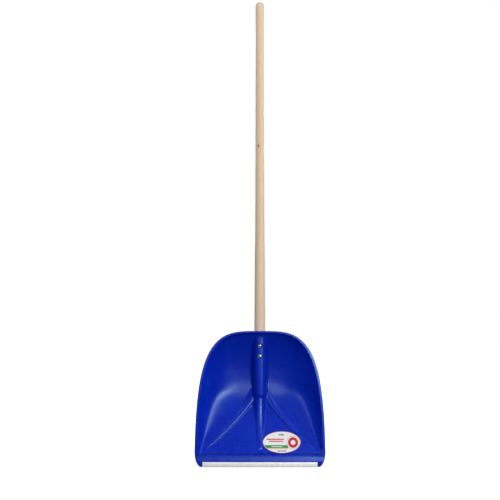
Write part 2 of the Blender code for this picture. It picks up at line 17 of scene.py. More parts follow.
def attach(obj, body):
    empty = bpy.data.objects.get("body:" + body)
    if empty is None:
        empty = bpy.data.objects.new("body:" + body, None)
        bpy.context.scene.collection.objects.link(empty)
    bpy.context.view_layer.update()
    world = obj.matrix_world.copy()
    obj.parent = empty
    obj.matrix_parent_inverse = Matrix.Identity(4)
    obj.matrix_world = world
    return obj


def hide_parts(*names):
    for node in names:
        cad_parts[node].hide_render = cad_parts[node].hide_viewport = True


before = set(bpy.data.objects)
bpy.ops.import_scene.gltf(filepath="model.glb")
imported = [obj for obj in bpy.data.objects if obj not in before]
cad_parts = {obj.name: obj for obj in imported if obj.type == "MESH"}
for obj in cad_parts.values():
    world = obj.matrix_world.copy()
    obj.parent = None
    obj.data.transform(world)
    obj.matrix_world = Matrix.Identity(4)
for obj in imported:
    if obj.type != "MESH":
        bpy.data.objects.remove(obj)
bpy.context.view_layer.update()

MM = 0.001
GAP = 0.3 * MM  # clearance between neighbouring pieces
REACH = 10 * MM  # how far a cutter runs past the wall that it cuts

# Blade outline, in front view
BLADE_HALF_WIDTH = 194.2 * MM
BLADE_TOP = 401 * MM
OUTLINE_BASE = -150 * MM
OUTLINE_CLIMB_POWER = 4.1
OUTLINE_WIDTH_POWER = 3.68
LIP_EDGE = 15.6 * MM  # lower edge of the plastic, above the edge strip
CORNER_TOP = 45 * MM
LUG_INNER = 169.3 * MM
LUG_OUTER = 172.5 * MM
LUG_TIP = 0.6 * MM
EDGE_ROUNDING = 1.2 * MM

# Blade section
WALL = 3 * MM
THICKEST_SHIFT = 2.6  # a steep wall is measured along Y, up to this many times its thickness
LIP_FRONT = -1.5 * MM
LIP_LEAN = 0.14  # the lip leans back as it climbs
RIM_BACK = 18 * MM  # how far the rim leans back from the lip to its top
RIM_BEND = 1.5
FLANGE_SIDE = 7.5 * MM
FLANGE_TOP = 4 * MM
LIP_BAND_TOP = 31 * MM
CREASE_HEIGHT = 12 * MM
CREASE_DEPTH = 13 * MM
INNER_CORNER = 24 * MM
FLOOR_TILT = 0.40
BOWL_DEPTH = 78.3 * MM
BOWL_DEEPEST = 256 * MM
BOWL_BEND = 61.7 * MM
BOWL_FALL = 0.3
WALL_POWERS = (10, 4.2)  # how square the hollow is, low down and high up
WALL_POWER_SPAN = (110 * MM, 270 * MM)
FOLD_ROUNDING = (4 * MM, 54 * MM)  # in the middle, and at the sides high up
FOLD_SPAN = (70 * MM, 190 * MM)

# Socket for the handle, moulded as a ridge with a round nose
SOCKET_AXIS = 62 * MM
SOCKET_WALL = 3.5 * MM
RIDGE_FALL = 42 * MM
RIDGE_HALF_WIDTH = 27.7 * MM
RIDGE_NARROWING = 2 * MM
RIDGE_NARROWING_SPAN = (210 * MM, 300 * MM)
RIDGE_TOP = 385 * MM  # here its crest runs out into the back wall
RIDGE_POWER = 3.2
NOSE_START = 211 * MM
NOSE_LENGTH = 34 * MM
NOSE_POWER = 2.1
NOSE_ARC = 8 * MM  # how much sooner the nose falls off at its sides
NOSE_REACH = 20 * MM
TUBE_BOTTOM = 211 * MM
TUBE_TOP = 394 * MM
TUBE_WALL = 4.5 * MM
TUBE_SETBACK = 2 * MM
TUBE_ROUNDING = 1.5 * MM
RIDGE_ROUNDING = 3 * MM
SOCKET_FILL = 2 * MM  # extra wall where the ridge lies over the socket
SOCKET_FILL_SPAN = (17 * MM, 24 * MM)
SOCKET_FILL_RISE = 8 * MM

# Centre rib and the two ribs of the V
CENTRE_RIB_BOTTOM = 51 * MM
CENTRE_RIB_CURVE = 1.13  # per metre
CENTRE_RIB_TIP = 1.6 * MM  # height of its rounded lower end
CENTRE_RIB_TIP_LENGTH = 7 * MM
CENTRE_RIB_HALF_WIDTHS = (8 * MM, 24 * MM)  # at its lower end and under the nose
CENTRE_RIB_POWERS = (2.6, 1.4)  # of its flat crest and of its flared foot
V_TIP = (159 * MM, 55 * MM)
V_ROOT = 208 * MM
V_SLOPE = 1.10
V_CURVE = 1.35  # per metre
V_HEIGHT = 5.8 * MM
V_HEIGHT_POWER = 0.6
V_INNER_WIDTH = 24 * MM
V_INNER_POWER = 0.4
V_OUTER_WIDTH = 8.5 * MM
V_ROOT_WIDENING = 6 * MM
V_RAMP = 0.4  # share of the inner width taken by its slope; the rest is the flat crest
CREST_ROUNDING = 0.5

# Handle: (height, radius) up its turned side
HANDLE_SIDE = (
    (217 * MM, 12.7 * MM),
    (402 * MM, 16.4 * MM),
    (480 * MM, 15.9 * MM),
    (611 * MM, 15.1 * MM),
    (680 * MM, 14.1 * MM),
    (853 * MM, 13.7 * MM),
    (1056 * MM, 13.3 * MM),
    (1238 * MM, 12.5 * MM),
    (1310 * MM, 12.7 * MM),
    (1368 * MM, 13.1 * MM),
)
HANDLE_HEIGHTS, HANDLE_RADII = zip(*HANDLE_SIDE)
HANDLE_TOP = 1382 * MM
HANDLE_SEGMENTS = 96
HANDLE_RING_STEP = 6 * MM
HANDLE_CHAMFER = 1.2 * MM  # at its lower end
HANDLE_DOME_POWER = 0.85
HANDLE_SMOOTHING = 25 * MM  # each way
HANDLE_BLEND = 30 * MM
HANDLE_WAVES = ((0.05 * MM, 19 * MM, 0), (0.04 * MM, 7.3 * MM, 1))  # height, length, phase
KNOT = (-4 * MM, 952 * MM)  # x and z of the knot in the wood

# Screws through the socket
SCREW_HEIGHTS = {"upper": 356 * MM, "lower": 325 * MM}
SCREW_HEAD_RADIUS = 4.8 * MM
SCREW_HEAD_HEIGHT = 2.8 * MM
SCREW_HEAD_EDGE = 1 * MM
SCREW_RADIUS = 2.1 * MM
SCREW_LENGTH = 24 * MM
SCREW_POINT = 4 * MM
SCREW_TIP_RADIUS = 0.2 * MM
SCREW_TURNS = {"upper": 0.4, "lower": 1.1}
SCREW_SEGMENTS = 48
THREAD_START = 0.4 * MM  # above the tip
THREAD_PITCH = 1.4 * MM
THREAD_FOOT = 0.7 * MM  # length of its root in each pitch
THREAD_CREST = 1 * MM  # its crest, above the start of each pitch
THREAD_DEPTH = 0.6 * MM
SHANK_DEPTH = 0.5 * MM  # how far the plain shank lies below the thread's crest
SLOT_SIZE = (5.4 * MM, 1.15 * MM, 4 * MM)
SLOT_TAPER = (0.35, 0.75)
SLOT_LIFT = 0.3 * MM
RECESS_RADIUS = 7.5 * MM
RECESS_DEPTH = 1.2 * MM
RECESS_FLARE = 0.6 * MM  # at its open end
RECESS_ROUNDING = 0.5 * MM
SCREW_SHADE_DEPTH = 47 * MM  # the shade around the screws stays in front of this Y

# Edge strip and its rivets
TONGUE_THICKNESS = 1.4 * MM
TONGUE_BOTTOM = 1.5 * MM
TONGUE_LAP = 3.3 * MM
STRIP_HALF_LENGTH = 169 * MM
STRIP_HALF_THICKNESS = 2.2 * MM
STRIP_SHEET = 1.2 * MM
STRIP_BEND = 1.6 * MM  # outside its fold
STRIP_INNER_BEND = 0.5 * MM
STRIP_EDGE = 0.35 * MM
STRIP_STATIONS = 140
STRIP_SWAY = 0.08 * MM  # slight waves of its free edges
STRIP_SWAY_LENGTHS = (23 * MM, 9 * MM)
STRIP_SWAY_END = 8 * MM
RIVET_PLACES = (-156 * MM, -52 * MM, 52 * MM, 156 * MM)
RIVET_HEIGHT = 8.4 * MM
RIVET_RADIUS = 2 * MM
RIVET_FLUSH_RADIUS = 3 * MM
RIVET_HEAD_RADIUS = 4 * MM
RIVET_HEAD_HEIGHT = 1.8 * MM
RIVET_HEAD_WALL = 0.3  # share of the head's height that is upright
RIVET_EDGE = (0.3 * MM, 0.15 * MM)
RIVET_DIMPLE = ((0, 0.25 * MM), (0.8 * MM, 0.2 * MM), (1.1 * MM, 0))  # radius, depth
RIVET_SEGMENTS = 40
COUNTERSINK_EDGE = 0.2 * MM

# Label
LABEL_CENTRE = (64.6 * MM, 71.2 * MM)
LABEL_HALF_SIZE = (56.8 * MM, 31.4 * MM)
LABEL_THICKNESS = 0.4 * MM
LABEL_EDGE = 0.15 * MM
LABEL_POINTS = 160
LABEL_REACH = 130 * MM  # the net is filled in as far as this
LABEL_EDGE_SLACK = 1.001
LABEL_RING = (33.5, -1)  # from the label's middle, in millimetres

# Spacing of the triangles
OUTLINE_STEP = 2 * MM
OUTLINE_POINTS = 600  # of the arch before it is spaced evenly
CORNER_POINTS = 60
NOSE_POINTS = 25
LINE_GUARD = 1.3 * MM  # a second line this far outside a fold keeps its shading narrow
FEATURE_STEP = 2 * MM
FLOOR_STEP = 3 * MM
ROW_HEIGHT = 0.87  # of FLOOR_STEP
FILL_MARGIN = 4 * MM
CREASE_LINE_LIFT = 4 * MM
CREASE_LINE_INSET = 21 * MM
RING_DROP = 0.6  # at the top of an inner ring, as a share of its step in at the sides
CLEAR_OF_LINES = 0.55  # of FLOOR_STEP
RING_DEPTHS = tuple(d * MM for d in (-0.8, 0, 0.6, 1.3, 2.2, 3.4, 5, 7, 9.5, 12.5, 16, 20))
SLOPE_PROBE = 0.4 * MM
WALL_SMOOTHING = 4  # rounds of evening out the wall's thickness
CUTTER_SEGMENTS = 32
DOME_STEPS = 12

# Camera, floor and lights
SENSOR_WIDTH = 36  # in millimetres
CAMERA_PLACE = (-0.0295, -4.3, 0.641)
VIEW_WIDTH = 1.475  # across the picture, at the blade
FLOOR_HALF_SIZE = 40
FLOOR_GLOW = (0.5, 1)  # under the object, and well away from it
FLOOR_GLOW_SPAN = (0.2, 0.7)
ROOM_LIGHT = 0.015
LIGHT_DISTANCE = 2.6
LIGHT_TARGET = (0, 0.03, 0.2)
# Degrees round from the front and degrees up, width and height, power
LIGHTS = {
    "key": ((22, 9), (1.4, 0.45), 36),
    "low_left": ((-25, 12), (0.8, 0.45), 4),
    "front": ((3, 10), (0.4, 0.25), 2),
    "right": ((60, 30), (0.8, 0.5), 5),
    "right_high": ((75, 42), (0.9, 0.6), 18),
    "left": ((-80, 25), (0.8, 0.5), 8),
    "top_right": ((30, 60), (0.7, 0.45), 7),
    "top_left": ((-55, 60), (1.2, 0.45), 14),
    "back_right": ((148, 24), (1.2, 0.9), 26),
    "back_left": ((-148, 24), (1.2, 0.9), 20),
}


# -------------------- the blade's front face


def soft_step(low, high, value):
    share = np.clip((value - low) / (high - low), 0, 1)
    return share * share * (3 - 2 * share)


def soft_min(a, b, rounding):
    """The smaller of two values, with the fold where they meet rounded over."""
    share = np.clip(0.5 + 0.5 * (b - a) / rounding, 0, 1)
    return b + (a - b) * share - rounding * share * (1 - share)


def half_width(z, side_inset=0.0, top_inset=0.0):
    """Half the width of the blade at height z, or of its outline moved inwards."""
    climb = (z - OUTLINE_BASE) / (BLADE_TOP - top_inset - OUTLINE_BASE)
    climb = np.clip(climb, 0, 1) ** OUTLINE_CLIMB_POWER
    return (BLADE_HALF_WIDTH - side_inset) * (1 - climb) ** (1 / OUTLINE_WIDTH_POWER)


def inner_half_width(z):
    """Half the width inside the flange, with the two rounded lower corners."""
    rise = np.clip((z - LIP_BAND_TOP) / INNER_CORNER, 0, 1)
    corner = INNER_CORNER * (1 - np.sqrt(rise * (2 - rise)))
    return np.maximum(half_width(z, FLANGE_SIDE, FLANGE_TOP) - corner, 1e-6)


def rim_depth(z):
    """Y of the lip and of the rim flange at height z: both lean back as they climb."""
    lip = LIP_FRONT + LIP_LEAN * (np.clip(z, LIP_EDGE, LIP_BAND_TOP) - LIP_EDGE)
    climb = np.clip((z - LIP_BAND_TOP) / (BLADE_TOP - LIP_BAND_TOP), 0, 1)
    return lip + RIM_BACK * climb**RIM_BEND


def floor_depth(z):
    """Y of the flat floor, which leans back from the crease above the lip."""
    foot = LIP_BAND_TOP + CREASE_HEIGHT
    return LIP_FRONT + CREASE_DEPTH + FLOOR_TILT * (z - foot)


def bowl_depth(x, z):
    """Y of the hollow back wall and side walls."""
    climb = np.clip((z - BOWL_DEEPEST) / (BLADE_TOP - FLANGE_TOP - BOWL_DEEPEST), 0, 1)
    top = rim_depth(BLADE_TOP)
    upper = top + (BOWL_DEPTH - top) * np.sqrt(1 - climb**2)
    below = np.clip(BOWL_DEEPEST - z, 0, 1) / BOWL_BEND
    lower = BOWL_DEPTH - BOWL_FALL * BOWL_BEND * (np.sqrt(1 + below**2) - 1)
    middle = np.where(z > BOWL_DEEPEST, upper, lower)
    low, high = WALL_POWERS
    power = low + (high - low) * soft_step(*WALL_POWER_SPAN, z)
    across = np.clip(x / inner_half_width(z), 0, 1)
    return middle + (rim_depth(z) - middle) * across**power


def ridge_depth(x, z):
    """Y of the ridge that holds the handle, and of its nose."""
    taper = np.interp(z, HANDLE_HEIGHTS[:2], HANDLE_RADII[:2])
    crest = SOCKET_AXIS - taper - GAP - SOCKET_WALL
    half = RIDGE_HALF_WIDTH - RIDGE_NARROWING * (1 - soft_step(*RIDGE_NARROWING_SPAN, z))
    arc = NOSE_ARC * np.clip(x / half, 0, 1) ** 2
    below = np.clip((NOSE_START + arc - z) / NOSE_LENGTH, 0, 2)
    return crest + RIDGE_FALL * ((x / half) ** RIDGE_POWER + below**NOSE_POWER)


def centre_rib_depth(x, z, base):
    up = z - CENTRE_RIB_BOTTOM
    crest = floor_depth(CENTRE_RIB_BOTTOM) + up * (FLOOR_TILT - CENTRE_RIB_CURVE * up)
    half = np.interp(z, (CENTRE_RIB_BOTTOM, NOSE_START), CENTRE_RIB_HALF_WIDTHS)
    tip = CENTRE_RIB_TIP * np.sqrt(np.clip(up / CENTRE_RIB_TIP_LENGTH, 0, 1))
    along = (z > CENTRE_RIB_BOTTOM) & (z < NOSE_START)
    height = (np.clip(base - crest, 0, 1) + tip) * along
    crown, foot = CENTRE_RIB_POWERS
    return base - height * (1 - np.clip(x / half, 0, 1) ** crown) ** foot


def v_crest(z):
    """Distance of a V rib's crest from the middle at height z."""
    up = z - V_TIP[1]
    return V_TIP[0] - up * (V_SLOPE - V_CURVE * up)


def v_widths(z):
    """Widths of a V rib's inner and outer slopes at height z, measured along X."""
    share = np.clip((z - V_TIP[1]) / (V_ROOT - V_TIP[1]), 0, 1)
    swell = 1 - (1 - share) ** 2
    return V_INNER_WIDTH * share**V_INNER_POWER, V_OUTER_WIDTH * swell + V_ROOT_WIDENING * share**6


def v_rib_depth(x, z, base):
    inner, outer = v_widths(z)
    crest = v_crest(z)
    rise = (x - crest + inner) / np.maximum(V_RAMP * inner, 1e-6)
    fall = (crest + outer - x) / np.maximum(outer, 1e-6)
    shape = soft_min(soft_min(rise, fall, CREST_ROUNDING), 1, CREST_ROUNDING)
    shape = np.clip(shape, 0, 1)
    share = np.clip((z - V_TIP[1]) / (V_ROOT - V_TIP[1]), 0, 1)
    return base - V_HEIGHT * share**V_HEIGHT_POWER * shape


def front_depth(x, z):
    """Y of the blade's front face at x, z."""
    x = np.abs(np.asarray(x, float))
    z = np.asarray(z, float)
    rim = rim_depth(z)
    across = np.clip(x / BLADE_HALF_WIDTH, 0, 1)
    middle, side = FOLD_ROUNDING
    rounding = middle + (side - middle) * across**3 * soft_step(*FOLD_SPAN, z)
    pan = soft_min(floor_depth(z), bowl_depth(x, z), rounding)
    inside = (x < inner_half_width(z)) & (z > LIP_BAND_TOP) & (z < BLADE_TOP - FLANGE_TOP)
    crease = soft_step(LIP_BAND_TOP, LIP_BAND_TOP + CREASE_HEIGHT, z)
    pan = np.where(inside, rim + (pan - rim) * crease, rim)
    ribs = np.minimum(v_rib_depth(x, z, pan), centre_rib_depth(x, z, pan))
    ridge = soft_min(ribs, ridge_depth(x, z), RIDGE_ROUNDING)
    return np.where(inside, ridge, rim)


def wall_shift(x, z):
    """How far behind its front face the blade's back face lies, along Y."""
    across = front_depth(x + SLOPE_PROBE, z) - front_depth(x - SLOPE_PROBE, z)
    along = front_depth(x, z + SLOPE_PROBE) - front_depth(x, z - SLOPE_PROBE)
    slope = np.hypot(across, along) / (2 * SLOPE_PROBE)
    over_tube = soft_step(TUBE_BOTTOM - SOCKET_FILL_RISE, TUBE_BOTTOM, z)
    over_tube = over_tube * (1 - soft_step(*SOCKET_FILL_SPAN, np.abs(x)))
    thickness = WALL + SOCKET_FILL * over_tube
    return thickness * np.clip(np.sqrt(1 + slope**2), 1, THICKEST_SHIFT)


# -------------------- flat net of the blade


def evenly(points, step):
    """The same open line with points about one step apart."""
    points = np.asarray(points, float)
    lengths = np.hypot(*np.diff(points, axis=0).T)
    reached = np.concatenate(([0], np.cumsum(lengths)))
    count = max(1, round(reached[-1] / step))
    at = np.linspace(0, reached[-1], count + 1)
    return np.column_stack([np.interp(at, reached, axis) for axis in points.T])


def arch(side_inset, top_inset, bottom):
    """Right half of the outline, or of one moved inwards, from height bottom up to the middle."""
    top = BLADE_TOP - top_inset
    start = (bottom - OUTLINE_BASE) / (top - OUTLINE_BASE)
    first = math.asin(start ** (OUTLINE_CLIMB_POWER / 2))
    turn = np.linspace(first, math.pi / 2, OUTLINE_POINTS)
    z = OUTLINE_BASE + (top - OUTLINE_BASE) * np.sin(turn) ** (2 / OUTLINE_CLIMB_POWER)
    x = (BLADE_HALF_WIDTH - side_inset) * np.cos(turn) ** (2 / OUTLINE_WIDTH_POWER)
    return np.column_stack([x, z])


def outline():
    """The blade's outline as one closed ring, right half first."""
    turn = np.linspace(math.pi / 2, 0, CORNER_POINTS)
    corner_width = half_width(CORNER_TOP) - LUG_OUTER
    corner = np.column_stack(
        [
            LUG_OUTER + corner_width * np.cos(turn),
            CORNER_TOP - (CORNER_TOP - LUG_TIP) * np.sin(turn),
        ]
    )
    lines = (
        evenly([(0, LIP_EDGE), (LUG_INNER, LIP_EDGE)], OUTLINE_STEP),
        evenly([(LUG_INNER, LIP_EDGE), (LUG_INNER, LUG_TIP)], OUTLINE_STEP),
        evenly(corner, OUTLINE_STEP / 2),
        evenly(arch(0, 0, CORNER_TOP), OUTLINE_STEP),
    )
    right = np.vstack([line[:-1] for line in lines] + [[[0, BLADE_TOP]]])
    left = right[-2:0:-1] * (-1, 1)
    return np.vstack([right, left])


def outward(ring):
    """Unit normals, pointing out, of a closed ring that runs anticlockwise."""
    before = ring - np.roll(ring, 1, axis=0)
    after = np.roll(ring, -1, axis=0) - ring
    before /= np.hypot(*before.T)[:, None]
    after /= np.hypot(*after.T)[:, None]
    along = before + after
    along /= np.hypot(*along.T)[:, None]
    return np.column_stack([along[:, 1], -along[:, 0]])


def inner_ring(depth_in):
    """A line inside the rim: depth_in is how far inside the flange it runs."""
    rows = np.linspace(LIP_BAND_TOP + max(depth_in, 0), CORNER_TOP + INNER_CORNER, CORNER_POINTS)
    corner = np.column_stack([inner_half_width(rows) - depth_in, rows])
    side = arch(FLANGE_SIDE + depth_in, FLANGE_TOP + RING_DROP * depth_in, rows[-1])
    right = evenly(np.vstack([corner[:-1], side]), OUTLINE_STEP)
    return np.vstack([right, right[-2::-1] * (-1, 1)])


def mirrored(lines):
    return [line * (sign, 1) for line in lines for sign in (1, -1)]


def feature_lines():
    """Lines that the blade's edges and folds follow, so that the facets don't cut across them."""
    rings = [inner_ring(depth_in) for depth_in in RING_DEPTHS]
    level = []
    for share in (0, 0.25, 0.5, 0.75, 1):
        z = LIP_BAND_TOP + share * CREASE_HEIGHT
        reach = inner_half_width(z + CREASE_LINE_LIFT) - CREASE_LINE_INSET
        level.append(evenly([(-reach, z), (reach, z)], FLOOR_STEP))
    heights = np.linspace(V_TIP[1], V_ROOT, CORNER_POINTS)
    inner, outer = v_widths(heights)
    crest = v_crest(heights)
    shifts = [(V_RAMP * share - 1) * inner for share in (0, 0.25, 0.5, 0.75, 1, 1.25, 1.5, 2)]
    shifts += [(1 - share) * outer for share in (1.5, 1.25, 1, 0.75, 0.5, 0.25, 0)]
    shifts += [outer + LINE_GUARD, -inner - LINE_GUARD]
    v_lines = [np.column_stack([crest + shift, heights]) for shift in shifts]
    v_lines = [line[line[:, 0] > CENTRE_RIB_HALF_WIDTHS[1]] for line in v_lines]
    uprights = []
    for share in (0.1, 0.25, 0.4, 0.5, 0.6, 0.7, 0.8, 0.88, 0.95, 1.02, 1.1):
        x = share * RIDGE_HALF_WIDTH
        uprights.append([(x, NOSE_START - NOSE_LENGTH), (x, RIDGE_TOP)])
    for share in (0.3, 0.55, 0.7, 0.85, 0.95, 1.0):
        low, high = (share * half for half in CENTRE_RIB_HALF_WIDTHS)
        uprights.append([(low, CENTRE_RIB_BOTTOM), (high, NOSE_START - NOSE_LENGTH)])
    bends = [evenly(line, FEATURE_STEP) for line in v_lines + uprights]
    middle = evenly([(0, CENTRE_RIB_BOTTOM), (0, RIDGE_TOP)], FEATURE_STEP)
    nose = []
    for share in (0.02, 0.15, 0.3, 0.45, 0.6, 0.75, 0.9):
        x = np.linspace(-NOSE_REACH, NOSE_REACH, NOSE_POINTS)
        nose.append(np.column_stack([x, np.full(NOSE_POINTS, NOSE_START - NOSE_LENGTH * share)]))
    return rings + level + mirrored(bends) + [middle] + nose


def nearest(points):
    tree = KDTree(len(points))
    for index, (x, z) in enumerate(points):
        tree.insert((x, z, 0), index)
    tree.balance()
    return tree


def flat_net(rim, lines, bottom, top, reach):
    """Triangles inside a closed rim that follow the lines: points (x, z) and corner triples."""
    points = [rim]
    edges = []
    count = len(rim)
    for line in lines:
        edges += [(count + i, count + i + 1) for i in range(len(line) - 1)]
        points.append(line)
        count += len(line)
    known = np.vstack(points)
    tree = nearest(known)
    fill = []
    for row, z in enumerate(np.arange(bottom, top, ROW_HEIGHT * FLOOR_STEP)):
        shift = 0.5 * FLOOR_STEP * (row % 2)
        for x in np.arange(shift, reach(z), FLOOR_STEP):
            fill += [(x, z), (-x, z)] if x > 0 else [(x, z)]
    clear = CLEAR_OF_LINES * FLOOR_STEP
    fill = [point for point in fill if tree.find((*point, 0))[2] > clear]
    points = [Vector(point) for point in np.vstack([known, fill])]
    net = delaunay_2d_cdt(points, edges, [list(range(len(rim)))], 1, 1e-6, False)
    return np.array([tuple(point) for point in net[0]]), [tuple(face) for face in net[2]]


def blade_net():
    rim = outline()
    rim = rim - EDGE_ROUNDING * outward(rim)
    bottom = LIP_EDGE + FLANGE_SIDE - FILL_MARGIN
    top = BLADE_TOP - FLANGE_SIDE
    net, faces = flat_net(rim, feature_lines(), bottom, top, lambda z: half_width(z) - FLANGE_SIDE / 2)
    edge = LIP_EDGE + EDGE_ROUNDING / 2
    inner = LUG_INNER + EDGE_ROUNDING / 2
    centres = [net[list(face)].mean(axis=0) for face in faces]
    return net, [f for f, (x, z) in zip(faces, centres) if z > edge or abs(x) > inner]


# -------------------- mesh helpers


def placed(name, data):
    obj = bpy.data.objects.new(name, data)
    bpy.context.scene.collection.objects.link(obj)
    return obj


def object_from(name, bm, made=None, smooth_angle=40):
    mesh = bpy.data.meshes.new(name)
    bmesh.ops.recalc_face_normals(bm, faces=bm.faces)
    bm.to_mesh(mesh)
    bm.free()
    mesh.shade_smooth()
    mesh.set_sharp_from_angle(angle=math.radians(smooth_angle))
    if made:
        mesh.materials.append(made)
    return placed(name, mesh)


def border(faces):
    """The one closed ring of edges that belong to a single face, as point numbers in order."""
    single = {}
    for face in faces:
        for a, b in zip(face, face[1:] + face[:1]):
            if (b, a) in single:
                del single[(b, a)]
            else:
                single[(a, b)] = True
    following = dict(single.keys())
    ring = [next(iter(following))]
    while following[ring[-1]] != ring[0]:
        ring.append(following[ring[-1]])
    return ring


def rounded_sheet(net, faces, front, shift, rounding, steps=6):
    """A closed sheet with a rounded edge: a skin over the net and its copy moved back along Y."""
    ring = border(faces)
    out = outward(net[ring])
    bm = bmesh.new()
    used = sorted({corner for face in faces for corner in face})
    place = {corner: index for index, corner in enumerate(used)}
    near = [bm.verts.new((net[i, 0], front[i], net[i, 1])) for i in used]
    far = [bm.verts.new((net[i, 0], front[i] + shift[i], net[i, 1])) for i in used]
    for face in faces:
        corners = [place[i] for i in face]
        bm.faces.new([near[i] for i in corners])
        bm.faces.new([far[i] for i in reversed(corners)])
    rings = [[near[place[i]] for i in ring]]
    for step in range(1, steps):
        turn = math.pi * step / steps
        level = []
        for (nx, nz), i in zip(out, ring):
            bulge = rounding * math.sin(turn)
            y = front[i] + shift[i] * (0.5 - 0.5 * math.cos(turn))
            level.append(bm.verts.new((net[i, 0] + nx * bulge, y, net[i, 1] + nz * bulge)))
        rings.append(level)
    rings.append([far[place[i]] for i in ring])
    for upper, lower in zip(rings, rings[1:]):
        for a in range(len(ring)):
            b = (a + 1) % len(ring)
            bm.faces.new((upper[a], lower[a], lower[b], upper[b]))
    return bm


def turned(profile, segments):
    """A solid turned about Z from (radius, height) points, both ends on the axis."""
    bm = bmesh.new()
    rings = []
    for radius, height in profile[1:-1]:
        turn = [2 * math.pi * (i + 0.5) / segments for i in range(segments)]
        ring = [(radius * math.cos(a), radius * math.sin(a), height) for a in turn]
        rings.append([bm.verts.new(co) for co in ring])
    ends = [bm.verts.new((0, 0, profile[0][1])), bm.verts.new((0, 0, profile[-1][1]))]
    for i in range(segments):
        j = (i + 1) % segments
        bm.faces.new((ends[0], rings[0][i], rings[0][j]))
        bm.faces.new((ends[1], rings[-1][j], rings[-1][i]))
        for upper, lower in zip(rings, rings[1:]):
            bm.faces.new((upper[i], lower[i], lower[j], upper[j]))
    return bm


def rounded_profile(corners, rounding, steps=4):
    """A (radius, height) profile with its inner corners rounded over."""
    points = [corners[0]]
    for before, here, after in zip(corners, corners[1:], corners[2:]):
        here = Vector(here)
        back = Vector(before) - here
        ahead = Vector(after) - here
        cut = min(rounding, 0.45 * back.length, 0.45 * ahead.length)
        first = here + back.normalized() * cut
        last = here + ahead.normalized() * cut
        for step in range(steps + 1):
            t = step / steps
            points.append(tuple(first * (1 - t) ** 2 + here * (2 * t * (1 - t)) + last * t**2))
    return points + [corners[-1]]


def facing_front(x, y, z):
    """Turns a solid's +Z axis to -Y and puts its origin at the point."""
    return Matrix.Translation((x, y, z)) @ Matrix.Rotation(math.pi / 2, 4, "X")


def quarter_turn():
    """Angles of the points between a dome's edge and its top."""
    return [0.5 * math.pi * step / DOME_STEPS for step in range(1, DOME_STEPS)]


def cutter(name, bm, matrix):
    obj = object_from(name, bm)
    obj.matrix_world = matrix
    return obj


def boolean(obj, other, operation):
    step = obj.modifiers.new(other.name, "BOOLEAN")
    step.operation = operation
    step.solver = "EXACT"
    step.object = other


def settled(obj, helpers, smooth_angle=40):
    """Applies the object's modifiers and its place to its mesh, and removes the helper objects."""
    bpy.context.view_layer.update()
    graph = bpy.context.evaluated_depsgraph_get()
    mesh = bpy.data.meshes.new_from_object(obj.evaluated_get(graph))
    mesh.transform(obj.matrix_world)
    obj.modifiers.clear()
    obj.matrix_world = Matrix()
    obj.data = mesh
    mesh.name = obj.name
    for helper in helpers:
        bpy.data.objects.remove(helper)
    mesh.shade_smooth()
    mesh.set_sharp_from_angle(angle=math.radians(smooth_angle))
    return obj


def peg(name, radius, front, back, place):
    """A plain round cutter along Y through place (x, z), from y = front to y = back."""
    profile = [(0, 0), (radius, 0), (radius, front - back), (0, front - back)]
    return cutter(name, turned(profile, CUTTER_SEGMENTS), facing_front(place[0], front, place[1]))


def standing_for(obj, made, node):
    """Gives a finished piece its material, hangs it under the root body, and hides the CAD node that
    it stands for.
    """
    obj.data.materials.clear()
    obj.data.materials.append(made)
    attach(obj, "root")
    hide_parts(node)


# -------------------- pieces


def handle_profile(extra, bottom, top):
    """The handle's turned side between two heights, thicker by extra."""
    heights = [bottom] + [height for height in HANDLE_HEIGHTS if bottom < height < top] + [top]
    return [(np.interp(z, HANDLE_HEIGHTS, HANDLE_RADII) + extra, z) for z in heights]


def screw_seat(height):
    """Y of the flat recess that a screw's head rests in."""
    return float(front_depth(0, height)) + RECESS_DEPTH


def smoothed(net, faces, values, passes):
    """Values at the net's points, evened out over the neighbouring points."""
    pairs = np.array([(a, b) for f in faces for a, b in zip(f, f[1:] + f[:1])])
    pairs = np.vstack([pairs, pairs[:, ::-1]])
    count = np.bincount(pairs[:, 0], minlength=len(net))
    for _ in range(passes):
        total = np.bincount(pairs[:, 0], weights=values[pairs[:, 1]], minlength=len(net))
        values = np.where(count > 0, 0.5 * values + 0.5 * total / np.maximum(count, 1), values)
    return values


def make_blade():
    net, faces = blade_net()
    front = front_depth(*net.T)
    shift = smoothed(net, faces, wall_shift(*net.T), WALL_SMOOTHING)
    obj = object_from("blade", rounded_sheet(net, faces, front, shift, EDGE_ROUNDING))
    parts = [lip_tongue(), socket_tube(), socket_bore()]
    for part, operation in zip(parts, ("UNION", "UNION", "DIFFERENCE")):
        boolean(obj, part, operation)
    return settled(obj, parts, 50)


def socket_tube():
    """The round back of the socket, behind the ridge."""
    side = handle_profile(GAP + TUBE_WALL, TUBE_BOTTOM, TUBE_TOP)
    profile = rounded_profile([(0, TUBE_BOTTOM)] + side + [(0, TUBE_TOP)], TUBE_ROUNDING)
    back = SOCKET_AXIS + TUBE_SETBACK
    return cutter("socket_tube", turned(profile, HANDLE_SEGMENTS), Matrix.Translation((0, back, 0)))


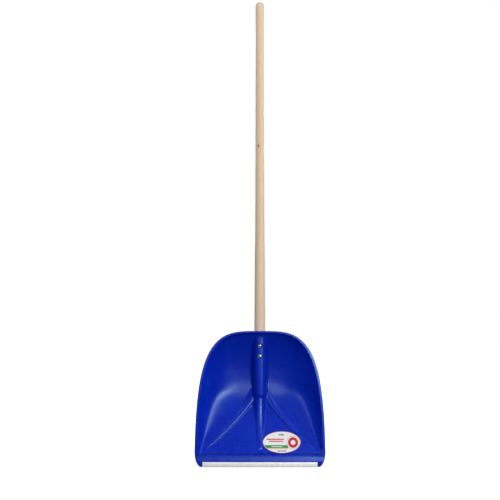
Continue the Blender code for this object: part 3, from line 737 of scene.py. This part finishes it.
def socket_bore():
    """The tapered bore for the handle, with the two stepped holes for its screws."""
    bottom = HANDLE_HEIGHTS[0] - GAP
    top = HANDLE_HEIGHTS[1] + REACH
    side = handle_profile(GAP, bottom, top)
    bore = turned([(0, bottom)] + side + [(0, top)], HANDLE_SEGMENTS)
    obj = cutter("socket_bore", bore, Matrix.Translation((0, SOCKET_AXIS, 0)))
    hole = SCREW_RADIUS + GAP
    seats = []
    for name, height in SCREW_HEIGHTS.items():
        seat = screw_seat(height)
        depth = seat - SOCKET_AXIS
        side = [(RECESS_RADIUS + RECESS_FLARE, REACH), (RECESS_RADIUS, 0), (hole, 0), (hole, depth)]
        stepped = rounded_profile([(0, REACH)] + side + [(0, depth)], RECESS_ROUNDING)
        place = facing_front(0, seat, height)
        seats.append(cutter("seat_" + name, turned(stepped, SCREW_SEGMENTS), place))
        boolean(obj, seats[-1], "UNION")
    return settled(obj, seats)


def lip_tongue():
    """The thin tongue under the lip that the edge strip wraps, with its rivet holes."""
    bm = bmesh.new()
    bmesh.ops.create_cube(bm, size=1)
    tall = LIP_EDGE + TONGUE_LAP - TONGUE_BOTTOM
    size = (2 * (STRIP_HALF_LENGTH - STRIP_SHEET), TONGUE_THICKNESS, tall)
    bmesh.ops.scale(bm, vec=size, verts=bm.verts)
    obj = cutter("lip_tongue", bm, Matrix.Translation((0, 0, TONGUE_BOTTOM + tall / 2)))
    holes = []
    for number, x in enumerate(RIVET_PLACES, 1):
        place = (x, RIVET_HEIGHT)
        holes.append(peg(f"hole_{number}", RIVET_RADIUS + GAP, -REACH, REACH, place))
        boolean(obj, holes[-1], "DIFFERENCE")
    return settled(obj, holes)


def handle_radius(z):
    """The turned side as one smooth line, with the small waves that turning leaves."""
    near = np.linspace(-HANDLE_SMOOTHING, HANDLE_SMOOTHING, 11)
    smooth = np.mean([np.interp(z + d, HANDLE_HEIGHTS, HANDLE_RADII) for d in near], axis=0)
    blend = soft_step(HANDLE_HEIGHTS[1], HANDLE_HEIGHTS[1] + HANDLE_BLEND, z)
    radius = np.interp(z, HANDLE_HEIGHTS, HANDLE_RADII) * (1 - blend) + smooth * blend
    waves = sum(height * np.sin(z / length + phase) for height, length, phase in HANDLE_WAVES)
    return radius + blend * waves


def make_handle():
    bottom = HANDLE_HEIGHTS[0]
    shoulder = HANDLE_HEIGHTS[-1]
    heights = np.linspace(bottom, shoulder, round((shoulder - bottom) / HANDLE_RING_STEP))
    radii = handle_radius(heights)
    heights[0] += HANDLE_CHAMFER
    profile = [(0, bottom), (radii[0] - HANDLE_CHAMFER, bottom), *zip(radii, heights)]
    for turn in quarter_turn():
        height = shoulder + (HANDLE_TOP - shoulder) * math.sin(turn)
        profile.append((radii[-1] * math.cos(turn) ** HANDLE_DOME_POWER, height))
    profile.append((0, HANDLE_TOP))
    obj = object_from("handle", turned(profile, HANDLE_SEGMENTS))
    obj.location.y = SOCKET_AXIS
    bpy.context.view_layer.update()
    holes = []
    for name, height in SCREW_HEIGHTS.items():
        back = screw_seat(height) + SCREW_LENGTH + GAP
        holes.append(peg("pilot_" + name, SCREW_RADIUS + GAP, -REACH, back, (0, height)))
        boolean(obj, holes[-1], "DIFFERENCE")
    return settled(obj, holes)


def make_screw(name, height):
    """A pan-head screw with a tapered cross recess, a thread and a point, along +Y from its seat."""
    head = [(SCREW_HEAD_RADIUS, 0), (SCREW_HEAD_RADIUS, SCREW_HEAD_EDGE)]
    for turn in quarter_turn():
        rise = SCREW_HEAD_EDGE + (SCREW_HEAD_HEIGHT - SCREW_HEAD_EDGE) * math.sin(turn)
        head.append((SCREW_HEAD_RADIUS * math.cos(turn), rise))
    profile = [(0, -SCREW_LENGTH), (SCREW_TIP_RADIUS, -SCREW_LENGTH)]
    z = THREAD_START - SCREW_LENGTH
    while z < -THREAD_PITCH:
        grown = min(1, (z + SCREW_LENGTH) / SCREW_POINT)
        root = (SCREW_RADIUS - THREAD_DEPTH) * grown
        profile += [(root, z), (root, z + THREAD_FOOT), (SCREW_RADIUS * grown, z + THREAD_CREST)]
        z += THREAD_PITCH
    shank = SCREW_RADIUS - SHANK_DEPTH
    profile += [(shank, z), (shank, 0)] + head + [(0, SCREW_HEAD_HEIGHT)]
    obj = object_from("screw_" + name, turned(profile, SCREW_SEGMENTS), None, 30)
    obj.matrix_world = facing_front(0, screw_seat(height) - GAP, height)
    helpers = []
    for number in range(2):
        slot = bmesh.new()
        bmesh.ops.create_cube(slot, size=1)
        bmesh.ops.scale(slot, vec=SLOT_SIZE, verts=slot.verts)
        for vert in slot.verts:
            if vert.co.z < 0:
                vert.co.x *= SLOT_TAPER[0]
                vert.co.y *= SLOT_TAPER[1]
        turn = SCREW_TURNS[name] + number * math.pi / 2
        spin = Matrix.Rotation(turn, 4, "Z")
        lift = Matrix.Translation((0, 0, SCREW_HEAD_HEIGHT + SLOT_LIFT))
        matrix = obj.matrix_world @ lift @ spin
        helpers.append(cutter(f"slot_{name}_{number}", slot, matrix))
        boolean(obj, helpers[-1], "DIFFERENCE")
    return settled(obj, helpers, 30)


def arc(centre, radius, first, last, steps):
    turns = np.radians(np.linspace(first, last, steps + 1))
    return [(centre[0] + radius * math.cos(a), centre[1] + radius * math.sin(a)) for a in turns]


def make_strip():
    """The folded strip: a U section run along X, its open side up over the tongue."""
    half = STRIP_HALF_THICKNESS
    inner = half - STRIP_SHEET
    top = LIP_EDGE - GAP
    bend = STRIP_BEND
    edge = STRIP_EDGE
    fold = STRIP_INNER_BEND
    section = arc((half - edge, top - edge), edge, 0, 90, 3)
    section += arc((inner + edge, top - edge), edge, 90, 180, 3)
    section += arc((inner - fold, STRIP_SHEET + fold), fold, 0, -90, 3)
    section += arc((-inner + fold, STRIP_SHEET + fold), fold, -90, -180, 3)
    section += arc((-inner - edge, top - edge), edge, 0, 90, 3)
    section += arc((-half + edge, top - edge), edge, 90, 180, 3)
    section += arc((-half + bend, bend), bend, 180, 270, 6)
    section += arc((half - bend, bend), bend, 270, 360, 6)
    long_wave, short_wave = STRIP_SWAY_LENGTHS
    bm = bmesh.new()
    rings = []
    for x in np.linspace(-STRIP_HALF_LENGTH, STRIP_HALF_LENGTH, STRIP_STATIONS):
        end = np.clip((STRIP_HALF_LENGTH - abs(x)) / STRIP_SWAY_END, 0, 1)
        sway = STRIP_SWAY * end * (math.sin(x / long_wave) + 0.6 * math.sin(x / short_wave + 2))
        rings.append([bm.verts.new((x, y + sway * z / top, z)) for y, z in section])
    count = len(section)
    for first, second in zip(rings, rings[1:]):
        for i in range(count):
            j = (i + 1) % count
            bm.faces.new((first[i], first[j], second[j], second[i]))
    for ring in (rings[0], rings[-1]):
        bm.faces.new(ring)
    obj = object_from("strip", bm, None, 35)
    holes = []
    for number, x in enumerate(RIVET_PLACES, 1):
        holes.append(rivet_hole(f"strip_hole_{number}", x))
        boolean(obj, holes[-1], "DIFFERENCE")
    return settled(obj, holes, 35)


def rivet_hole(name, x):
    """A countersunk cutter through the strip, clear of its rivet all round."""
    half = STRIP_HALF_THICKNESS
    wide = RIVET_FLUSH_RADIUS + GAP
    narrow = RIVET_RADIUS + GAP
    profile = [(0, REACH), (wide, REACH), (wide, half - COUNTERSINK_EDGE)]
    profile += [(narrow, half - STRIP_SHEET), (narrow, -REACH), (0, -REACH)]
    return cutter(name, turned(profile, CUTTER_SEGMENTS), facing_front(x, 0, RIVET_HEIGHT))


def make_rivet(number, x):
    """A rivet along Y, flush with the strip's front, with a low domed head behind."""
    half = STRIP_HALF_THICKNESS
    head_front = -half - GAP
    profile = [(radius, half - depth) for radius, depth in RIVET_DIMPLE]
    profile += [(RIVET_FLUSH_RADIUS - RIVET_EDGE[0], half), (RIVET_FLUSH_RADIUS, half - RIVET_EDGE[1])]
    profile += [(RIVET_RADIUS, half - STRIP_SHEET), (RIVET_RADIUS, head_front)]
    profile += [(RIVET_HEAD_RADIUS, head_front)]
    for turn in quarter_turn():
        share = RIVET_HEAD_WALL + (1 - RIVET_HEAD_WALL) * math.sin(turn)
        profile.append((RIVET_HEAD_RADIUS * math.cos(turn), head_front - RIVET_HEAD_HEIGHT * share))
    profile += [(0, head_front - RIVET_HEAD_HEIGHT)]
    obj = object_from(f"rivet_{number}", turned(profile, RIVET_SEGMENTS), None, 35)
    obj.matrix_world = facing_front(x, 0, RIVET_HEIGHT)
    return settled(obj, [], 35)


def make_label():
    """The label follows the blade's face, lifted off it by a hair, with a slightly soft edge."""
    turn = np.linspace(0, 2 * math.pi, LABEL_POINTS, endpoint=False)
    wide, tall = LABEL_HALF_SIZE
    x = LABEL_CENTRE[0] + (wide - LABEL_EDGE) * np.cos(turn)
    z = LABEL_CENTRE[1] + (tall - LABEL_EDGE) * np.sin(turn)
    rim = np.column_stack([x, z])
    bottom = LABEL_CENTRE[1] - tall
    net, faces = flat_net(rim, [], bottom, LABEL_CENTRE[1] + tall, lambda z: LABEL_REACH)
    inside = np.hypot(*((net - LABEL_CENTRE) / (wide, tall)).T) < LABEL_EDGE_SLACK
    faces = [face for face in faces if inside[list(face)].all()]
    front = front_depth(*net.T) - GAP - LABEL_THICKNESS
    shift = np.full(len(net), LABEL_THICKNESS)
    obj = object_from("label", rounded_sheet(net, faces, front, shift, LABEL_EDGE, 4))
    return settled(obj, [], 50)


# -------------------- materials


class Shader:
    """A Principled material and short ways to add nodes to it."""

    def __init__(self, name, metallic, roughness, **sockets):
        self.made = bpy.data.materials.new(name)
        self.made.use_nodes = True
        self.tree = self.made.node_tree
        self.surface = self.tree.nodes["Principled BSDF"]
        self.surface.inputs["Metallic"].default_value = metallic
        self.surface.inputs["Roughness"].default_value = roughness
        for label, value in sockets.items():
            self.surface.inputs[label.replace("_", " ")].default_value = value
        self.place = self.add("ShaderNodeTexCoord").outputs["Object"]

    def add(self, kind, **settings):
        node = self.tree.nodes.new(kind)
        for label, value in settings.items():
            setattr(node, label, value)
        return node

    def put(self, socket, value):
        if isinstance(value, bpy.types.NodeSocket):
            self.tree.links.new(value, socket)
        else:
            socket.default_value = value

    def math(self, operation, *values):
        node = self.add("ShaderNodeMath", operation=operation)
        for socket, value in zip(node.inputs, values):
            self.put(socket, value)
        return node.outputs[0]

    def between(self, value, low, high, start=0.0, end=1.0):
        """Runs smoothly from start to end as the value goes from low to high."""
        node = self.add("ShaderNodeMapRange", interpolation_type="SMOOTHSTEP")
        for socket, given in zip(node.inputs, (value, low, high, start, end)):
            self.put(socket, given)
        return node.outputs[0]

    def stretched(self, scale, offset=(0, 0, 0)):
        node = self.add("ShaderNodeMapping")
        self.put(node.inputs["Vector"], self.place)
        node.inputs["Scale"].default_value = scale
        node.inputs["Location"].default_value = offset
        return node.outputs[0]

    def noise(self, scale, detail, rough, stretch=(1, 1, 1)):
        node = self.add("ShaderNodeTexNoise")
        self.put(node.inputs["Vector"], self.stretched(stretch))
        node.inputs["Scale"].default_value = scale
        node.inputs["Detail"].default_value = detail
        node.inputs["Roughness"].default_value = rough
        return node.outputs[0]

    def mix(self, share, first, second):
        node = self.add("ShaderNodeMix", data_type="RGBA")
        self.put(node.inputs[0], share)
        self.put(node.inputs[6], first)
        self.put(node.inputs[7], second)
        return node.outputs[2]

    def axis(self, index):
        node = self.add("ShaderNodeSeparateXYZ")
        self.put(node.inputs[0], self.place)
        return node.outputs[index]

    def distance(self, axes, centre, scales=(1, 1)):
        """Distance from a centre, measured along two axes only."""
        squares = []
        for index, middle, scale in zip(axes, centre, scales):
            gap = self.math("MULTIPLY", self.math("SUBTRACT", self.axis(index), middle), scale)
            squares.append(self.math("MULTIPLY", gap, gap))
        return self.math("SQRT", self.math("ADD", *squares))

    def bump(self, *layers):
        """Layers of (height, depth in metres), each height running from 0 to 1."""
        normal = None
        for height, depth in layers:
            node = self.add("ShaderNodeBump")
            node.inputs["Strength"].default_value = 1
            node.inputs["Distance"].default_value = depth
            self.put(node.inputs["Height"], height)
            if normal:
                self.put(node.inputs["Normal"], normal)
            normal = node.outputs[0]
        self.put(self.surface.inputs["Normal"], normal)

    def finish(self, color, rough=None):
        self.put(self.surface.inputs["Base Color"], color)
        if rough is not None:
            self.put(self.surface.inputs["Roughness"], rough)
        return self.made


def blade_plastic():
    """Blue plastic, scuffed low down, with painted shade darkening the crease and round the screws."""
    s = Shader("blade_plastic", 0, 0.4, Specular_IOR_Level=0.46, Specular_Tint=(0.58, 0.85, 1, 1))
    cloud = s.between(s.noise(9, 3, 0.5), 0.3, 0.7)
    color = s.mix(cloud, (0.0008, 0.0205, 0.465, 1), (0.0014, 0.0235, 0.50, 1))
    grain = s.noise(900, 2, 0.6)
    color = s.mix(s.between(grain, 0.6, 0.8, 0, 0.1), color, (0.008, 0.045, 0.56, 1))
    scuff = s.noise(60, 4, 0.65, (1, 1, 14))
    low = s.between(s.axis(2), 0.02, 0.13, 1, 0)
    wear = s.math("MULTIPLY", s.between(scuff, 0.62, 0.74), low)
    color = s.mix(s.math("MULTIPLY", wear, 0.18), color, (0.08, 0.16, 0.62, 1))
    # Painted shade: the crease band above the lip is darkened in the base colour, deepest along its
    # middle.
    from_crease = s.math("ABSOLUTE", s.math("SUBTRACT", s.axis(2), LIP_BAND_TOP + CREASE_HEIGHT / 2))
    crease = s.between(from_crease, 0.2 * CREASE_HEIGHT, 0.6 * CREASE_HEIGHT, 0.55, 0)
    color = s.mix(crease, color, (0.0006, 0.012, 0.25, 1))
    # Painted shade: a dark ring is mixed into the colour round each screw recess, on the front face
    # only.
    in_front = s.between(s.axis(1), SCREW_SHADE_DEPTH, SCREW_SHADE_DEPTH + 3 * MM, 1, 0)
    for height in SCREW_HEIGHTS.values():
        away = s.distance((0, 2), (0, height))
        ring = s.between(away, 0.95 * RECESS_RADIUS, 1.3 * RECESS_RADIUS, 0.7, 0)
        color = s.mix(s.math("MULTIPLY", ring, in_front), color, (0.0004, 0.008, 0.16, 1))
    rough = s.between(s.noise(35, 4, 0.6), 0.3, 0.7, 0.265, 0.315)
    rough = s.math("ADD", rough, s.math("MULTIPLY", wear, 0.12))
    ripple = s.noise(160, 2, 0.5)
    waviness = s.noise(22, 1, 0.5)
    s.bump((grain, 0.003 * MM), (ripple, 0.01 * MM), (waviness, 0.08 * MM))
    return s.finish(color, rough)


def handle_wood():
    """Pale wood: growth rings and fibres along the handle, pores, and one small knot in front."""
    s = Shader("handle_wood", 0, 0.5, Specular_IOR_Level=0.35)
    rings = s.add("ShaderNodeTexWave", wave_type="RINGS", rings_direction="Z", wave_profile="SAW")
    s.put(rings.inputs["Vector"], s.stretched((1, 1, 0.035), (0.021, 0.034, 0)))
    rings.inputs["Scale"].default_value = 62
    rings.inputs["Distortion"].default_value = 3.2
    rings.inputs["Detail"].default_value = 2.5
    rings.inputs["Detail Scale"].default_value = 0.8
    growth = rings.outputs[1]
    fibres = s.noise(1, 4, 0.6, (900, 900, 14))
    pores = s.between(s.noise(1, 2, 0.5, (1600, 1600, 42)), 0.62, 0.72)
    tone = s.noise(1, 2, 0.5, (14, 14, 2.2))
    pale = (0.788, 0.626, 0.456, 1)
    warm = (0.716, 0.515, 0.336, 1)
    color = s.mix(s.between(growth, 0.2, 1.0, 0, 0.55), pale, warm)
    color = s.mix(s.between(tone, 0.3, 0.7, 0, 0.5), color, (0.752, 0.555, 0.385, 1))
    color = s.mix(s.between(fibres, 0.35, 0.75, 0, 0.35), color, (0.626, 0.421, 0.26, 1))
    color = s.mix(s.math("MULTIPLY", pores, 0.35), color, (0.403, 0.242, 0.134, 1))
    knot = s.distance((0, 2), KNOT, (1, 0.6))
    knot = s.math("ADD", knot, s.math("MULTIPLY", s.noise(300, 2, 0.5), 1.5 * MM))
    facing = s.between(s.axis(1), SOCKET_AXIS - 6 * MM, SOCKET_AXIS - 3 * MM, 1, 0)
    halo = s.math("MULTIPLY", s.between(knot, 3 * MM, 7 * MM, 0.5, 0), facing)
    core = s.math("MULTIPLY", s.between(knot, 2 * MM, 3.2 * MM, 0.85, 0), facing)
    color = s.mix(halo, color, (0.55, 0.34, 0.2, 1))
    color = s.mix(core, color, (0.2, 0.1, 0.05, 1))
    rough = s.between(fibres, 0.3, 0.7, 0.44, 0.58)
    s.bump((fibres, 0.05 * MM), (growth, 0.04 * MM))
    return s.finish(color, rough)


def brushed_metal(name, tint, stretch, low, high, metallic=1):
    """Metal with fine lines along its grain: stretch sets the grain, low and high the roughness."""
    s = Shader(name, metallic, 0.3)
    lines = s.noise(1, 3, 0.6, stretch)
    blotch = s.noise(90, 3, 0.6)
    color = s.mix(s.between(blotch, 0.3, 0.7), (*tint, 1), (*(0.88 * c for c in tint), 1))
    color = s.mix(s.between(lines, 0.4, 0.7, 0, 0.3), color, (*(0.8 * c for c in tint), 1))
    rough = s.between(lines, 0.3, 0.7, low, high)
    s.bump((lines, 0.01 * MM), (blotch, 0.02 * MM))
    return s.finish(color, rough)


def label_print():
    """A plain generic print: a border, bars in place of text, a green band, a line and a ring."""
    s = Shader("label_print", 0, 0.32)
    wide, tall = (half / MM for half in LABEL_HALF_SIZE)
    soft = 0.12 * MM

    def block(u, v, half_u, half_v):
        """A rectangle at (u, v) from the label's centre, in millimetres."""
        sides = []
        for axis, centre, off, half in zip((0, 2), LABEL_CENTRE, (u, v), (half_u, half_v)):
            away = s.math("ABSOLUTE", s.math("SUBTRACT", s.axis(axis), centre + off * MM))
            sides.append(s.between(away, half * MM - soft, half * MM + soft, 1, 0))
        return s.math("MULTIPLY", *sides)

    def ellipse(u, v, half_u, half_v):
        centre = (LABEL_CENTRE[0] + u * MM, LABEL_CENTRE[1] + v * MM)
        away = s.distance((0, 2), centre, (1 / (half_u * MM), 1 / (half_v * MM)))
        edge = soft / (half_u * MM)
        return s.between(away, 1 - edge, 1 + edge, 1, 0)

    fleck = s.between(s.noise(300, 2, 0.5), 0.3, 0.7)
    paper = s.mix(fleck, (0.84, 0.84, 0.84, 1), (0.9, 0.9, 0.89, 1))
    red = (0.62, 0.02, 0.03, 1)
    green = (0.045, 0.30, 0.07, 1)
    orange = (0.85, 0.30, 0.04, 1)
    dark = (0.03, 0.03, 0.035, 1)
    color = s.mix(ellipse(0, 0, wide - 1.6, tall - 1.6), (0.26, 0.012, 0.03, 1), paper)
    inside = ellipse(0, 0, wide - 2.6, tall - 2.6)
    band = s.math("MULTIPLY", block(-17, -12.5, 36, 4.2), inside)
    color = s.mix(band, color, green)
    line = s.math("MULTIPLY", block(-14, -18.6, 32, 0.8), inside)
    color = s.mix(line, color, orange)
    for u, v, half_u, half_v, ink in (
        (-19, 8.2, 26, 1.5, red),
        (-16, 2.4, 21, 1.5, red),
        (-1, 20.5, 7.5, 1.6, dark),
        (-14, -12.5, 16, 1.1, (0.75, 0.82, 0.75, 1)),
        (0, -25, 13, 1.1, dark),
    ):
        color = s.mix(block(u, v, half_u, half_v), color, ink)
    for radius, ink in ((19, (0.30, 0.30, 0.34, 1)), (18, paper), (15, red), (7, paper)):
        color = s.mix(ellipse(*LABEL_RING, radius, radius), color, ink)
    s.bump((s.noise(700, 2, 0.5), 0.01 * MM))
    return s.finish(color, s.between(s.noise(60, 2, 0.5), 0.3, 0.7, 0.28, 0.36))


# -------------------- stage


def make_camera():
    data = bpy.data.cameras.new("camera")
    data.sensor_width = SENSOR_WIDTH
    data.lens = SENSOR_WIDTH * -CAMERA_PLACE[1] / VIEW_WIDTH
    data.dof.use_dof = False
    obj = placed("camera", data)
    obj.location = CAMERA_PLACE
    obj.rotation_euler = (math.pi / 2, 0, 0)
    bpy.context.scene.camera = obj


def area_light(name, angles, size, power):
    """A soft light that points at the blade from the given degrees round from the front and up."""
    data = bpy.data.lights.new(name, "AREA")
    data.shape = "RECTANGLE"
    data.size, data.size_y = size
    data.energy = power
    obj = placed(name, data)
    around, up = (math.radians(angle) for angle in angles)
    level = math.cos(up)
    away = Vector((math.sin(around) * level, -math.cos(around) * level, math.sin(up)))
    obj.location = Vector(LIGHT_TARGET) + LIGHT_DISTANCE * away
    obj.rotation_euler = (-away).to_track_quat("-Z", "Y").to_euler()


def make_floor():
    """A white floor that glows enough to be plain white away from the object's shadow."""
    bm = bmesh.new()
    bmesh.ops.create_grid(bm, x_segments=1, y_segments=1, size=FLOOR_HALF_SIZE)
    s = Shader("floor_white", 0, 0.9, Specular_IOR_Level=0.1)
    s.surface.inputs["Emission Color"].default_value = (1, 1, 1, 1)
    from_middle = s.add("ShaderNodeVectorMath", operation="LENGTH")
    s.put(from_middle.inputs[0], s.place)
    glow = s.between(from_middle.outputs["Value"], *FLOOR_GLOW_SPAN, *FLOOR_GLOW)
    s.put(s.surface.inputs["Emission Strength"], glow)
    floor = object_from("floor", bm, s.finish((0.86, 0.87, 0.88, 1)))
    floor.visible_diffuse = False
    floor.visible_glossy = False


def make_background():
    """Plain white to the camera, and only a dim even light on the object."""
    world = bpy.data.worlds.new("studio")
    bpy.context.scene.world = world
    world.use_nodes = True
    tree = world.node_tree
    dim = tree.nodes["Background"]
    bright = tree.nodes.new("ShaderNodeBackground")
    for shade, strength in ((dim, ROOM_LIGHT), (bright, 1)):
        shade.inputs["Color"].default_value = (1, 1, 1, 1)
        shade.inputs["Strength"].default_value = strength
    path = tree.nodes.new("ShaderNodeLightPath")
    mix = tree.nodes.new("ShaderNodeMixShader")
    tree.links.new(path.outputs["Is Camera Ray"], mix.inputs[0])
    tree.links.new(dim.outputs[0], mix.inputs[1])
    tree.links.new(bright.outputs[0], mix.inputs[2])
    tree.links.new(mix.outputs[0], tree.nodes["World Output"].inputs["Surface"])
    bpy.context.scene.view_settings.view_transform = "Standard"


# -------------------- the whole


make_camera()
make_floor()
make_background()
for light_name, (angles, size, power) in LIGHTS.items():
    area_light(light_name, angles, size, power)
standing_for(make_blade(), blade_plastic(), "scoop_blade")
standing_for(make_handle(), handle_wood(), "wooden_handle")
steel = brushed_metal("screw_steel", (0.46, 0.52, 0.58), (400, 400, 400), 0.34, 0.48)
for screw_name, screw_height in SCREW_HEIGHTS.items():
    made_screw = make_screw(screw_name, screw_height)
    standing_for(made_screw, steel, "handle_screw_" + screw_name)
aluminium = brushed_metal("strip_aluminium", (0.97, 0.97, 0.98), (20, 900, 900), 0.5, 0.6, 0.5)
standing_for(make_strip(), aluminium, "edge_strip")
rivet_metal = brushed_metal("rivet_aluminium", (0.94, 0.94, 0.95), (500, 500, 500), 0.45, 0.55, 0.5)
for rivet_number, rivet_x in enumerate(RIVET_PLACES, 1):
    made_rivet = make_rivet(rivet_number, rivet_x)
    standing_for(made_rivet, rivet_metal, f"strip_rivet_{rivet_number}")
standing_for(make_label(), label_print(), "oval_label")
